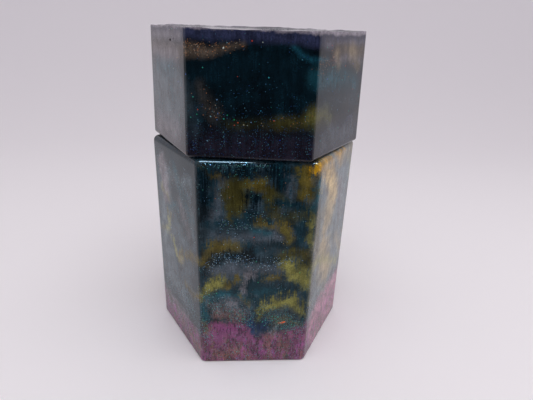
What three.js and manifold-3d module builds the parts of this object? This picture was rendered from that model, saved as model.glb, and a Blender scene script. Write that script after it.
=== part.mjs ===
// Hexagonal cast-resin jar with a lift-off lid. Millimetres, +Z up.
// The origin is the centre of the underside, and a flat side of the jar faces -Y.
// The object is two castings. The jar was poured upside down, so its widest part is the rounded
// shoulder. The lid was poured the right way up, so its top is the open pour face: it slopes a
// little and has a wavering rim where the resin crept up the wall of the mould.
import * as THREE from "three";
import { mergeVertices } from "three/addons/utils/BufferGeometryUtils.js";
import Module from "manifold-3d";

// Jar, outside
const JAR_ACROSS_CORNERS = 86; // at the shoulder
const JAR_HEIGHT = 87.7; // underside to shoulder
const JAR_TAPER = 0.65; // how far each corner of the underside sits in from the shoulder's corner
const JAR_UPRIGHT_RADIUS = 2.6; // rounding of the six upright edges
const JAR_SHOULDER_RADIUS = 2.2; // rounding of the shoulder's outer edge
const JAR_BASE_RADIUS = 0.9; // rounding of the underside's edge

// Jar, inside
const JAR_WALL = 9.2; // from the round bore to the middle of a flat side, at the shoulder
const FLOOR_THICKNESS = 8;
const BORE_FLOOR_RADIUS = 2.5; // rounding where the bore meets the floor

// Collar that keeps the lid in place
const COLLAR_WALL = 3;
const COLLAR_HEIGHT = 6;
const COLLAR_RIM_RADIUS = 1;

// Lid, outside
const LID_HEIGHT = 41.9; // lower rim to the pour face, on the axis
const LID_SETBACK = 0.05; // how far the lid's lower corners sit in from the shoulder's corners
const LID_TAPER = 0.95; // how far each upper corner sits in from the lower one
const LID_UPRIGHT_RADIUS = 1.6;
const LID_LOWER_RADIUS = 1.3; // rounding of the lower rim's outer edge
const LID_TURN_DEG = -5.2; // the lid sits turned on the jar
const POUR_TILT_BACK_DEG = 2; // the pour face rises towards +Y
const POUR_TILT_SIDE_DEG = 0.4; // and a little towards +X

// Rim of resin that crept up the mould around the lid's pour face
const RIM_HEIGHT = 0.55;
const RIM_WAVER = 0.3;
const RIM_WIDTH = 4.2;

// Lid, inside
const LID_TOP_THICKNESS = 9.9; // from the roof of the hollow to the pour face
const LID_ROOF_RADIUS = 3; // rounding where the hollow meets its roof
const LID_MOUTH_RADIUS = 1; // rounding of the hollow's mouth

// Fits
const COLLAR_CLEARANCE = 0.6; // all round, between the collar and the lid's hollow
const SEAM = 0.3; // between the shoulder and the lid's lower rim

// Fineness of the faceting
const CORNER_STEPS = 4; // on each upright edge
const EDGE_STEPS = 4; // on each rounded edge
const FLAT_STEPS_LID = 11; // along each flat side of the lid, so that the rim can waver
const ROUND_STEPS = 60; // around the bore, the collar and the lid's hollow
const CUT_PAST = 5; // how far a cutting solid runs past the face it opens

const CORNERS = 6;
const HALF_CORNER = Math.PI / CORNERS;
const FLAT_RATIO = Math.cos(HALF_CORNER); // a hexagon's flat radius for a corner radius of one
const WELD = 1e-4;
const SMALLEST_RADIUS = 0.2;

const shoulderCorner = JAR_ACROSS_CORNERS / 2;
const boreRadius = shoulderCorner * FLAT_RATIO - JAR_WALL;
const collarRadius = boreRadius + COLLAR_WALL;
const hollowRadius = collarRadius + COLLAR_CLEARANCE;
const hollowDepth = LID_HEIGHT - LID_TOP_THICKNESS;
const lidSeat = JAR_HEIGHT + SEAM;

const wasm = await Module();
wasm.setup();

// One level of a hexagonal casting: a rounded hexagon, set in from its corner radius by inset,
// whose heights come from heightAt(x, y, share of the way round).
function hexagonRing(cornerRadius, uprightRadius, inset, flatSteps, heightAt) {
  const rounding = Math.max(uprightRadius - inset, SMALLEST_RADIUS);
  const centreRadius = cornerRadius - (inset + rounding) / FLAT_RATIO;
  const outline = [];
  for (let corner = 0; corner < CORNERS; corner += 1) {
    const middle = 2 * HALF_CORNER * corner;
    const centre = new THREE.Vector2(centreRadius, 0).rotateAround(new THREE.Vector2(), middle);
    for (let step = 0; step <= CORNER_STEPS; step += 1) {
      const angle = middle + HALF_CORNER * ((2 * step) / CORNER_STEPS - 1);
      outline.push(new THREE.Vector2(Math.cos(angle), Math.sin(angle)).multiplyScalar(rounding).add(centre));
    }
    const flatStart = outline.at(-1);
    const nextCentre = centre.clone().rotateAround(new THREE.Vector2(), 2 * HALF_CORNER);
    const flatAngle = middle + HALF_CORNER;
    const flatEnd = new THREE.Vector2(Math.cos(flatAngle), Math.sin(flatAngle))
      .multiplyScalar(rounding)
      .add(nextCentre);
    for (let step = 1; step < flatSteps; step += 1) {
      outline.push(new THREE.Vector2().lerpVectors(flatStart, flatEnd, step / flatSteps));
    }
  }
  return outline.map(({ x, y }, i) => new THREE.Vector3(x, y, heightAt(x, y, i / outline.length)));
}

// A closed skin over rings that are stacked upwards, each with as many points as the next.
function loft(rings) {
  const count = rings[0].length;
  const points = rings.flat();
  const triangles = [];
  for (let level = 0; level < rings.length - 1; level += 1) {
    for (let i = 0; i < count; i += 1) {
      const low = level * count + i;
      const lowNext = level * count + ((i + 1) % count);
      triangles.push(low, lowNext, lowNext + count, low, lowNext + count, low + count);
    }
  }
  const last = (rings.length - 1) * count;
  const bottom = points.push(middleOf(rings[0])) - 1;
  const top = points.push(middleOf(rings.at(-1))) - 1;
  for (let i = 0; i < count; i += 1) {
    const next = (i + 1) % count;
    triangles.push(bottom, next, i, top, last + i, last + next);
  }
  const geometry = new THREE.BufferGeometry().setFromPoints(points);
  geometry.setIndex(triangles);
  return geometry;
}

function middleOf(ring) {
  const sum = ring.reduce((total, point) => total.add(point), new THREE.Vector3());
  return sum.divideScalar(ring.length);
}

// A quarter round as inset and drop pairs, from the upright face (no inset) to the flat one.
function quarterRound(radius) {
  return Array.from({ length: EDGE_STEPS + 1 }, (_, step) => {
    const angle = (Math.PI / 2) * (step / EDGE_STEPS);
    return { inset: radius * (1 - Math.cos(angle)), drop: radius * (1 - Math.sin(angle)) };
  });
}

// A solid turned about the Z axis from a profile of [radius, height] points that starts and
// ends on the axis and runs upwards.
function turned(profile) {
  const points = profile.map(([radius, height]) => new THREE.Vector2(radius, height));
  return new THREE.LatheGeometry(points, ROUND_STEPS).rotateX(Math.PI / 2);
}

// Points of an arc in a profile, from one angle to another in degrees.
function profileArc(radius, height, arcRadius, fromDeg, toDeg) {
  return Array.from({ length: EDGE_STEPS + 1 }, (_, step) => {
    const angle = THREE.MathUtils.degToRad(fromDeg + ((toDeg - fromDeg) * step) / EDGE_STEPS);
    return [radius + arcRadius * Math.cos(angle), height + arcRadius * Math.sin(angle)];
  });
}

// The closed solid of a geometry, with its shared corners merged and empty triangles dropped.
function solidOf(geometry) {
  const bare = geometry.clone();
  bare.deleteAttribute("normal");
  bare.deleteAttribute("uv");
  const merged = mergeVertices(bare, WELD);
  const corners = merged.index.array;
  const kept = [];
  for (let i = 0; i < corners.length; i += 3) {
    const [a, b, c] = corners.subarray(i, i + 3);
    if (a !== b && b !== c && c !== a) kept.push(a, b, c);
  }
  const vertProperties = new Float32Array(merged.attributes.position.array);
  return new wasm.Manifold(
    new wasm.Mesh({ numProp: 3, vertProperties, triVerts: new Uint32Array(kept) }),
  );
}

function geometryOf(solid) {
  const { vertProperties, triVerts } = solid.getMesh();
  const geometry = new THREE.BufferGeometry();
  geometry.setAttribute("position", new THREE.BufferAttribute(vertProperties, 3));
  geometry.setIndex(new THREE.BufferAttribute(triVerts, 1));
  geometry.computeVertexNormals();
  return geometry;
}

// The jar's outer block, from its crisp base edge up to its rounded shoulder.
function jarBlock() {
  const ring = (taper, inset, height) =>
    hexagonRing(shoulderCorner - taper, JAR_UPRIGHT_RADIUS, inset, 1, () => height);
  const base = quarterRound(JAR_BASE_RADIUS)
    .reverse()
    .map(({ inset, drop }) => ring(JAR_TAPER, inset, drop));
  const shoulder = quarterRound(JAR_SHOULDER_RADIUS).map(({ inset, drop }) =>
    ring(0, inset, JAR_HEIGHT - drop),
  );
  return loft([...base, ...shoulder]);
}

// The round collar, with a rounded rim. It starts inside the block, so that the two join.
function collarBlock() {
  const top = JAR_HEIGHT + COLLAR_HEIGHT;
  const rim = profileArc(collarRadius - COLLAR_RIM_RADIUS, top - COLLAR_RIM_RADIUS, COLLAR_RIM_RADIUS, 0, 90);
  return turned([[0, FLOOR_THICKNESS], [collarRadius, FLOOR_THICKNESS], ...rim, [0, top]]);
}

// The jar's hollow: a round bore with a rounded floor edge, open through the collar.
function boreCut() {
  const floorEdge = profileArc(
    boreRadius - BORE_FLOOR_RADIUS, FLOOR_THICKNESS + BORE_FLOOR_RADIUS, BORE_FLOOR_RADIUS, -90, 0,
  );
  const past = JAR_HEIGHT + COLLAR_HEIGHT + CUT_PAST;
  return turned([[0, FLOOR_THICKNESS], ...floorEdge, [boreRadius, past], [0, past]]);
}

// Height of the rim above the pour face, at a share of the way round.
function rimHeight(share) {
  const round = 2 * Math.PI * share;
  const waver = 0.5 * Math.sin(5 * round + 0.6) + 0.3 * Math.sin(13 * round + 2.1) + 0.2 * Math.sin(23 * round + 4);
  return RIM_HEIGHT + RIM_WAVER * waver;
}

// The lid's outer block: rounded lower rim, straight sides that draw in upwards, and the
// sloping pour face inside its wavering rim.
function lidBlock() {
  const tiltX = Math.tan(THREE.MathUtils.degToRad(POUR_TILT_SIDE_DEG));
  const tiltY = Math.tan(THREE.MathUtils.degToRad(POUR_TILT_BACK_DEG));
  const lowerCorner = shoulderCorner - LID_SETBACK;
  const ring = (taper, inset, heightAt) =>
    hexagonRing(lowerCorner - taper, LID_UPRIGHT_RADIUS, inset, FLAT_STEPS_LID, heightAt);
  const lower = quarterRound(LID_LOWER_RADIUS)
    .reverse()
    .map(({ inset, drop }) => ring(0, inset, () => drop));
  // The creeping rim falls away inwards along a curve that is steep at the wall.
  const creep = [0, 0.12, 0.35, 0.65, 1].map((share) =>
    ring(LID_TAPER, share * RIM_WIDTH, (x, y, round) =>
      LID_HEIGHT + tiltX * x + tiltY * y + rimHeight(round) * (1 - share) ** 2),
  );
  return loft([...lower, ...creep]);
}

// The lid's hollow, open below, with a rounded mouth that slips over the collar.
function hollowCut() {
  const mouth = profileArc(hollowRadius + LID_MOUTH_RADIUS, LID_MOUTH_RADIUS, LID_MOUTH_RADIUS, 270, 180);
  const roof = profileArc(hollowRadius - LID_ROOF_RADIUS, hollowDepth - LID_ROOF_RADIUS, LID_ROOF_RADIUS, 0, 90);
  const mouthRadius = hollowRadius + LID_MOUTH_RADIUS;
  return turned([[0, -CUT_PAST], [mouthRadius, -CUT_PAST], ...mouth, ...roof, [0, hollowDepth]]);
}

function makeJar() {
  const solid = solidOf(jarBlock()).add(solidOf(collarBlock())).subtract(solidOf(boreCut()));
  const material = new THREE.MeshStandardMaterial({ color: "#2b3f42", roughness: 0.16, metalness: 0 });
  const jar = new THREE.Mesh(geometryOf(solid), material);
  jar.name = "jar";
  return jar;
}

function makeLid() {
  const solid = solidOf(lidBlock()).subtract(solidOf(hollowCut()));
  const material = new THREE.MeshStandardMaterial({ color: "#0e1a26", roughness: 0.14, metalness: 0 });
  const lid = new THREE.Mesh(geometryOf(solid), material);
  lid.name = "lid";
  lid.position.z = lidSeat;
  lid.rotation.z = THREE.MathUtils.degToRad(LID_TURN_DEG);
  return lid;
}

const resinJar = new THREE.Group();
resinJar.add(makeJar(), makeLid());

export default resinJar;
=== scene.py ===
"""The looks of a hexagonal cast-resin jar with a lift-off lid. Blender 4.5, metres."""

import logging
import math
from collections.abc import Callable, Iterator
from contextlib import contextmanager
from dataclasses import dataclass
from enum import Enum

import bmesh
import bpy
from mathutils import Matrix, Vector, noise


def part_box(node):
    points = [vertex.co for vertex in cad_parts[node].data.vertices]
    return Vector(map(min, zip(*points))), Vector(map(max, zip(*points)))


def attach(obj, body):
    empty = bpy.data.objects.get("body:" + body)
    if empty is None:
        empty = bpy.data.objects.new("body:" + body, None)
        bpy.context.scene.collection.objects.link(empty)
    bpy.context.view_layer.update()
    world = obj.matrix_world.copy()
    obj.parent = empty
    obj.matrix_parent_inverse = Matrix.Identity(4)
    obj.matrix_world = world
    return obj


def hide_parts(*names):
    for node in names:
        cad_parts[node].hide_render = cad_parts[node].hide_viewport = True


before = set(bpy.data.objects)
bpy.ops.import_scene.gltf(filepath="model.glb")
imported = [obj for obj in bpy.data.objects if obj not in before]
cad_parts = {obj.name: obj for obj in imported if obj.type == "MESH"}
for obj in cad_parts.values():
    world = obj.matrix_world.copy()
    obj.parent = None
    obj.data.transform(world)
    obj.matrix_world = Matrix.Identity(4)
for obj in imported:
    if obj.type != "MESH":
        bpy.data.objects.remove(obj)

Socket = bpy.types.NodeSocket
Piece = bpy.types.Object
EdgeTest = Callable[[Vector, Vector], bool]

log = logging.getLogger("resin_jar")

MM = 0.001
LEVEL = 0.01 * MM
CLEAR = 5 * MM
ROUND_SIDES = 128
BODY = "root"
UNROLLED = "unrolled"
CORNERS = 6
FACE_DEG = 360 / CORNERS
FRONT_DEG = -90
FLAT_RATIO = math.cos(math.radians(FACE_DEG / 2))


class Pigment(Enum):
    """Colours of the pigments and flakes in the resin, as sRGB hex; some of them also stand for painted
    light, where marked.
    """

    INK = "#06151d"
    DEEP_TEAL = "#0b2731"
    TEAL = "#1b4a56"
    BRIGHT_TEAL = "#1d5a6c"
    NAVY = "#182f52"
    SLATE = "#2f3d46"
    BLUE_GREY = "#64727a"
    GREY_LILAC = "#4c535c"
    PALE_LILAC = "#787379"
    ICE = "#84939a"
    OLIVE = "#3b381a"
    OLD_GOLD = "#5a4f20"
    # Gold mica pigment; on the shoulder at the front right corner it is also a painted glint.
    BRIGHT_GOLD = "#c9981f"
    YELLOW_OLIVE = "#6e6c38"
    SUNLIT_OLIVE = "#8f8c4c"
    TAN = "#a08e6a"
    SAND = "#bea574"
    BROWN = "#4a3a26"
    MAGENTA = "#6e3c5d"
    BRIGHT_MAGENTA = "#8a487e"
    PINK_BROWN = "#744e4b"
    # The magenta drawn lighter for the jar's right face, which gets more light: painted light.
    ROSE = "#a77287"
    LID_TEAL = "#06171f"
    LID_INK = "#040c12"
    INDIGO = "#292d45"
    VIOLET_NIGHT = "#1b1822"
    BRONZE = "#544a41"
    # Pale pearl pigment; round the lid's creeping rim it is also painted light shining through the thin
    # resin.
    PEARL = "#8f8892"
    ORANGE_FLAKE = "#ff6a2a"


def linear(colour: str) -> tuple[float, float, float, float]:
    """Turns an sRGB hex colour into linear light.

    Args:
        colour: The colour as "#rrggbb".

    Returns:
        Red, green, blue and an alpha of one, linear.
    """
    parts = [int(colour[i : i + 2], 16) / 255 for i in (1, 3, 5)]
    red, green, blue = (p / 12.92 if p <= 0.04045 else ((p + 0.055) / 1.055) ** 2.4 for p in parts)
    return (red, green, blue, 1.0)


class Graph:
    """A node tree that is filled node by node."""

    def __init__(self, tree: bpy.types.NodeTree) -> None:
        """Takes the tree to fill."""
        self.tree = tree

    def add(
        self,
        kind: str,
        *inputs: object,
        out: int = 0,
        named: dict[str, object] | None = None,
        **settings: object,
    ) -> Socket | None:
        """Adds one node with its settings and links.

        Args:
            kind: The node's type, without its "ShaderNode" start.
            *inputs: A constant or another node's output for each shown input in turn; None skips one.
            out: The number of the shown output to return.
            named: Further inputs, by name.
            **settings: Properties of the node; ramp is a list of (place, colour) stops.

        Returns:
            The chosen output, or None if the node has none.
        """
        made = self.tree.nodes.new(kind if kind.startswith("NodeGroup") else "ShaderNode" + kind)
        ramp = settings.pop("ramp", [])
        for name, value in settings.items():
            setattr(made, name, value)
        for place, colour in ramp[2:]:
            made.color_ramp.elements.new(place)
        for stop, (place, colour) in zip(made.color_ramp.elements if ramp else (), ramp):
            stop.position, stop.color = place, colour
        pairs = list(zip([s for s in made.inputs if s.enabled], inputs))
        pairs += [(made.inputs[name], value) for name, value in (named or {}).items()]
        for socket, value in pairs:
            if isinstance(value, Socket):
                self.tree.links.new(value, socket)
            elif value is not None:
                socket.default_value = value
        shown = [s for s in made.outputs if s.enabled]
        return shown[out] if shown else None


def emptied(holder: bpy.types.Material | bpy.types.World) -> Graph:
    """Empties the node tree of a new material or world.

    Args:
        holder: The material or world.

    Returns:
        Its graph, ready to fill.
    """
    holder.use_nodes = True
    holder.node_tree.nodes.clear()
    return Graph(holder.node_tree)


def stretch_group() -> bpy.types.NodeTree:
    """Makes the group that measures how far a point lies outside one straight stretch of a pour.

    It clamps with plain minimum and maximum nodes, which the renderer works out in turn. A node's
    own clamp is worked out last, and the values of all the pours would wait for it.

    Returns:
        A group whose output is below zero inside the stretch, in millimetres.
    """
    tree = bpy.data.node_groups.new("pour stretch", "ShaderNodeTree")
    vector, number = "NodeSocketVector", "NodeSocketFloat"
    sockets = {"Point": vector, "Start": vector, "Along": vector}
    sockets |= {"Inverse": number, "Width": number, "Widening": number}
    for name, kind in sockets.items():
        tree.interface.new_socket(name=name, in_out="INPUT", socket_type=kind)
    tree.interface.new_socket(name="Outside", in_out="OUTPUT", socket_type=number)
    graph = Graph(tree)
    given = list(tree.nodes.new("NodeGroupInput").outputs)[: len(sockets)]
    point, start, along, inverse, width, widening = given
    away = graph.add("VectorMath", point, start, operation="SUBTRACT")
    reach = graph.add("VectorMath", away, along, operation="DOT_PRODUCT")
    share = graph.add("Math", reach, inverse, operation="MULTIPLY")
    share = graph.add("Math", share, 0.0, operation="MAXIMUM")
    share = graph.add("Math", share, 1.0, operation="MINIMUM")
    foot = graph.add("VectorMath", along, share, operation="SCALE")
    distance = graph.add("VectorMath", away, foot, operation="DISTANCE")
    half = graph.add("Math", share, widening, width, operation="MULTIPLY_ADD")
    outside = graph.add("Math", distance, half, operation="SUBTRACT")
    graph.add("NodeGroupOutput", outside)
    return tree


@dataclass(frozen=True)
class Pour:
    """One tongue of pigment, or one drift of glitter, on the unrolled outside of a casting.

    path holds points in millimetres: across from the middle of the front face, and up from the
    surface that the jar stands on. width and end_width are half widths at its two ends. A drift
    of glitter has no pigment, and its cover is the share of the places that hold a flake. grained
    tells whether the mica's grain breaks up its edge.
    """

    pigment: Pigment | None
    path: tuple[tuple[float, float], ...]
    width: float
    end_width: float | None = None
    soft: float = 1.2
    cover: float = 1.0
    grained: bool = True

    def mask(
        self,
        graph: Graph,
        stretch: bpy.types.NodeTree,
        point: Socket,
        stipple: Socket | float = 0.0,
    ) -> Socket:
        """Draws the tongue.

        Args:
            graph: The material's graph.
            stretch: The group that measures one straight stretch.
            point: The place on the unrolled side, in millimetres.
            stipple: How far the fine grain moves the edge out and in, in millimetres.

        Returns:
            The tongue's cover at each place, fading to nothing across its soft edge.
        """
        last = self.width if self.end_width is None else self.end_width
        ends = list(zip(self.path, self.path[1:]))
        outside = None
        for number, (start, end) in enumerate(ends):
            low = self.width + (last - self.width) * number / len(ends)
            along = (end[0] - start[0], end[1] - start[1], 0.0)
            inverse = 1 / (along[0] ** 2 + along[1] ** 2)
            widening = (last - self.width) / len(ends)
            here = graph.add("Group", point, (*start, 0.0), along, inverse, low, widening, node_tree=stretch)
            outside = here if outside is None else graph.add("Math", outside, here, operation="MINIMUM")
        if self.grained:
            outside = graph.add("Math", outside, stipple, operation="ADD")
        soft = self.soft
        return graph.add("MapRange", outside, -soft, soft, self.cover, 0.0, interpolation_type="SMOOTHSTEP")


@dataclass(frozen=True)
class Vein:
    """Clouds of one pigment that drift all through a casting.

    size is the clouds' own size in millimetres. A cloud fades in as the noise goes from low to high.
    A vein that lies over the pours has faded out at the height under, in millimetres.
    """

    pigment: Pigment
    size: float
    low: float
    high: float
    cover: float = 1.0
    under: float = 0.0

    def mask(self, graph: Graph, folded: Socket, number: int) -> Socket:
        """Draws the clouds.

        Args:
            graph: The material's graph.
            folded: The folded place in the resin, in millimetres.
            number: The vein's number, which sets its clouds apart from the others'.

        Returns:
            The clouds' cover at each place.
        """
        apart = graph.add("VectorMath", folded, (61.0 * number, 37.0, -23.0 * number), operation="ADD")
        cloud = graph.add("TexNoise", apart, 1 / self.size, 3.0, 0.55)
        return graph.add(
            "MapRange", cloud, self.low, self.high, 0.0, self.cover, interpolation_type="SMOOTHSTEP"
        )


@dataclass(frozen=True)
class Glitter:
    """Fine polyester glitter: flat flakes that lie every way under the clear surface.

    The real flakes are about 0.2 mm across. They are drawn as coarse as the render needs to show
    them. Each flake is a mirror of its own colour, tipped at random, so that it flashes or goes dark.
    share is the share of the cells that hold a flake anywhere; in a drift it is the drift's cover.
    """

    cell: float
    flake: float
    tip: float
    share: float
    stops: tuple[tuple[float, str], ...]
    drifts: tuple[Pour, ...] = ()

    def scatter(
        self,
        graph: Graph,
        stretch: bpy.types.NodeTree,
        place: Socket,
        point: Socket,
    ) -> tuple[Socket, Socket, Socket]:
        """Scatters the flakes.

        Args:
            graph: The material's graph.
            stretch: The group that measures one straight stretch of a drift.
            place: The place in the resin, in millimetres.
            point: The place on the unrolled side, in millimetres.

        Returns:
            Where there is a flake, its colour, and how its normal is tipped.
        """
        share = self.share
        for drift in self.drifts:
            share = graph.add("Math", share, drift.mask(graph, stretch, point), operation="MAXIMUM")
        distance = graph.add("TexVoronoi", place, 1 / self.cell, 0.0)
        chance = graph.add("TexVoronoi", place, 1 / self.cell, 0.0, out=1)
        red = graph.add("SeparateColor", chance, out=0)
        green = graph.add("SeparateColor", chance, out=1)
        near = graph.add("Math", distance, self.flake / self.cell, operation="LESS_THAN")
        lucky = graph.add("Math", red, share, operation="LESS_THAN")
        there = graph.add("Math", near, lucky, operation="MULTIPLY")
        ramp = [(at, linear(colour)) for at, colour in self.stops]
        colour = graph.add("ValToRGB", green, ramp=ramp)
        centred = graph.add("VectorMath", chance, (0.5, 0.5, 0.5), operation="SUBTRACT")
        tipped = graph.add("VectorMath", centred, self.tip, operation="SCALE")
        return there, colour, tipped


@dataclass(frozen=True)
class CastResin:
    """Clear epoxy resin cast in a silicone mould, coloured with mica pigment and glitter.

    The pigment lies in the resin under a glassy skin, so the colour is soft and deep and the only
    reflection is the skin's. Mould and pour leave faint waves in it, and handling faint scuffs.
    """

    name: str
    ground: Pigment
    ground_cloud: Pigment
    veins: tuple[Vein, ...]
    pours: tuple[Pour, ...]
    glitter: tuple[Glitter, ...]
    mottles: tuple[Vein, ...] = ()
    fold_mm: float = 17.0
    warp_mm: float = 2.0
    rag_mm: float = 1.7
    comb_mm: float = 1.0
    stipple_mm: float = 3.4
    streak_mm: float = 0.7
    ground_cloud_mm: float = 9.0
    tone_cloud_mm: float = 4.5
    mica_mm: float = 0.4
    mould_wave_mm: float = 14.0
    scuff_mm: float = 0.9
    plain_from: tuple[float, float] = (-67.0, -62.0)
    plain_to: tuple[float, float] = (20.5, 24.0)
    pearl: float = 0.12
    pigment_roughness: float = 0.45
    flake_metallic: float = 0.45
    flake_roughness: float = 0.3
    coat_weight: float = 0.86
    coat_roughness: float = 0.05
    ior: float = 1.48

    def make(self) -> bpy.types.Material:
        """Makes the material.

        Returns:
            The material, which reads object coordinates and the unrolled UV map.
        """
        material = bpy.data.materials.new(self.name)
        graph = emptied(material)
        stretch = bpy.data.node_groups.get("pour stretch") or stretch_group()
        metres = graph.add("TexCoord", out=3)
        place = graph.add("VectorMath", metres, 1 / MM, operation="SCALE")
        flat = graph.add("UVMap", uv_map=UNROLLED)
        upright_place = graph.add("VectorMath", place, (1.0, 1.0, 0.07), operation="MULTIPLY")
        streak = graph.add("TexNoise", upright_place, 1 / self.streak_mm, 2.0, 0.6)
        point = self._warped(graph, place, flat, streak)
        stipple = self._stipple(graph, place, streak)
        colour = self._ground(graph, place, flat)
        for pour in self.pours:
            mask = pour.mask(graph, stretch, point, stipple)
            colour = graph.add("Mix", mask, colour, linear(pour.pigment.value), data_type="RGBA")
        colour = self._mottled(graph, place, colour)
        colour = graph.add("VectorMath", colour, self._tone(graph, place, streak), operation="SCALE")
        metallic, roughness = self.pearl, self.pigment_roughness
        normal = graph.add("NewGeometry", out=1)
        for glitter in self.glitter:
            there, flake, tipped = glitter.scatter(graph, stretch, place, point)
            colour = graph.add("Mix", there, colour, flake, data_type="RGBA")
            metallic = graph.add("Mix", there, metallic, self.flake_metallic, data_type="FLOAT")
            roughness = graph.add("Mix", there, roughness, self.flake_roughness, data_type="FLOAT")
            tip = graph.add("VectorMath", tipped, there, operation="SCALE")
            normal = graph.add("VectorMath", normal, tip, operation="ADD")
        normal = graph.add("VectorMath", normal, operation="NORMALIZE")
        shader = graph.add(
            "BsdfPrincipled",
            named={
                "Base Color": colour,
                "Metallic": metallic,
                "Roughness": roughness,
                "Normal": normal,
                "Specular IOR Level": 0.0,
                "Coat Weight": self.coat_weight,
                "Coat Roughness": self.coat_roughness,
                "Coat IOR": self.ior,
                "Coat Normal": self._skin(graph, place),
            },
        )
        graph.add("OutputMaterial", shader)
        return material

    def _stipple(
        self, graph: Graph, place: Socket, streak: Socket
    ) -> Socket:
        """Breaks the edges of the pours into grains, patches and streaks, as stirred mica does.

        Args:
            graph: The material's graph.
            place: The place in the resin, in millimetres.
            streak: The upright streaks, from nought to one.

        Returns:
            How far each place lies out of or into its pour beyond the plain shape, in millimetres.
        """
        grain = graph.add("TexNoise", place, 1 / 0.7, 3.0, 0.8)
        patch = graph.add("TexNoise", place, 1 / 3.2, 3.0, 0.65)
        mixed = graph.add("Math", grain, streak, operation="ADD")
        mixed = graph.add("Math", mixed, patch, operation="ADD")
        centred = graph.add("Math", mixed, 1.5, operation="SUBTRACT")
        return graph.add("Math", centred, 2 * self.stipple_mm, operation="MULTIPLY")

    def _warped(
        self, graph: Graph, place: Socket, flat: Socket, streak: Socket
    ) -> Socket:
        """Bends the unrolled side with slow waves, a ragged edge and upright combing.

        Args:
            graph: The material's graph.
            place: The place in the resin, in millimetres.
            flat: The place on the unrolled side.
            streak: The upright streaks, from nought to one.

        Returns:
            The bent place, at which the pours are drawn.
        """
        slow = graph.add("TexNoise", place, 1 / 8.0, 1.0, out=1)
        quick = graph.add("TexNoise", place, 1 / 2.4, 4.0, 0.75, out=1)
        comb = graph.add("CombineXYZ", 0.5, streak, 0.5)
        point = flat
        for bend, reach in ((slow, self.warp_mm), (quick, self.rag_mm), (comb, self.comb_mm)):
            centred = graph.add("VectorMath", bend, (0.5, 0.5, 0.5), operation="SUBTRACT")
            level = graph.add("VectorMath", centred, (2 * reach, 2 * reach, 0.0), operation="MULTIPLY")
            point = graph.add("VectorMath", point, level, operation="ADD")
        return graph.add("VectorMath", point, (1.0, 1.0, 0.0), operation="MULTIPLY")

    def _ground(
        self, graph: Graph, place: Socket, flat: Socket
    ) -> Socket:
        """Makes the clouded ground, and the folded veins in it away from the front and left faces.

        Args:
            graph: The material's graph.
            place: The place in the resin, in millimetres.
            flat: The place on the unrolled side.

        Returns:
            The ground colour.
        """
        fold = graph.add("TexNoise", place, 1 / self.fold_mm, 2.0, 0.5, out=1)
        fold = graph.add("VectorMath", fold, (0.5, 0.5, 0.5), operation="SUBTRACT")
        fold = graph.add("VectorMath", fold, 1.8 * self.fold_mm, operation="SCALE")
        folded = graph.add("VectorMath", place, fold, operation="ADD")
        cloud = graph.add("TexNoise", folded, 1 / self.ground_cloud_mm, 4.0, 0.6)
        cloud = graph.add("MapRange", cloud, 0.38, 0.64, 0.0, 1.0, interpolation_type="SMOOTHSTEP")
        colour = graph.add(
            "Mix", cloud, linear(self.ground.value), linear(self.ground_cloud.value), data_type="RGBA"
        )
        across = graph.add("SeparateXYZ", flat)
        before = graph.add(
            "MapRange", across, *self.plain_from, 1.0, 0.0, interpolation_type="SMOOTHSTEP"
        )
        beyond = graph.add(
            "MapRange", across, *self.plain_to, 0.0, 1.0, interpolation_type="SMOOTHSTEP"
        )
        veined = graph.add("Math", before, beyond, operation="MAXIMUM")
        for number, vein in enumerate(self.veins):
            mask = graph.add("Math", vein.mask(graph, folded, number), veined, operation="MULTIPLY")
            colour = graph.add("Mix", mask, colour, linear(vein.pigment.value), data_type="RGBA")
        return colour

    def _mottled(
        self, graph: Graph, place: Socket, colour: Socket
    ) -> Socket:
        """Clouds the lower pours with one another's pigments, where the layers ran together.

        Args:
            graph: The material's graph.
            place: The place in the resin, in millimetres.
            colour: The colour of the pours.

        Returns:
            The clouded colour.
        """
        height = graph.add("SeparateXYZ", place, out=2)
        drawn_up = graph.add("VectorMath", place, (1.0, 1.0, 0.4), operation="MULTIPLY")
        for number, vein in enumerate(self.mottles, start=len(self.veins)):
            fade = graph.add(
                "MapRange", height, vein.under - 6.0, vein.under, 1.0, 0.0, interpolation_type="SMOOTHSTEP"
            )
            mask = graph.add("Math", vein.mask(graph, drawn_up, number), fade, operation="MULTIPLY")
            colour = graph.add("Mix", mask, colour, linear(vein.pigment.value), data_type="RGBA")
        return colour

    def _tone(
        self, graph: Graph, place: Socket, streak: Socket
    ) -> Socket:
        """Makes the pigment's light and dark: soft clouds, upright streaks and the mica's fine grain.

        The mica's grain is far finer than a render shows, so it is drawn about 0.4 mm coarse.

        Args:
            graph: The material's graph.
            place: The place in the resin, in millimetres.
            streak: The upright streaks, from nought to one.

        Returns:
            A factor about one.
        """
        cloud = graph.add("TexNoise", place, 1 / self.tone_cloud_mm, 3.0, 0.6)
        grain = graph.add("TexNoise", place, 1 / self.mica_mm, 2.0, 0.7)
        tone = graph.add("MapRange", streak, 0.3, 0.7, 0.76, 1.24, interpolation_type="SMOOTHSTEP")
        for pattern, depth in ((cloud, 0.3), (grain, 0.3)):
            shade = graph.add(
                "MapRange", pattern, 0.3, 0.7, 1 - depth, 1 + depth, interpolation_type="SMOOTHSTEP"
            )
            tone = graph.add("Math", tone, shade, operation="MULTIPLY")
        return tone

    def _skin(self, graph: Graph, place: Socket) -> Socket:
        """Makes the glassy skin's relief: slow mould waves and faint scuffs.

        Args:
            graph: The material's graph.
            place: The place on the surface, in millimetres.

        Returns:
            The coat's normal.
        """
        wave = graph.add("TexNoise", place, 1 / self.mould_wave_mm, 1.0)
        normal = graph.add("Bump", 1.0, 0.12 * MM, None, wave)
        scuff = graph.add("TexNoise", place, 1 / self.scuff_mm, 3.0, 0.7)
        return graph.add("Bump", 1.0, 0.0015 * MM, None, scuff, normal)


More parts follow.
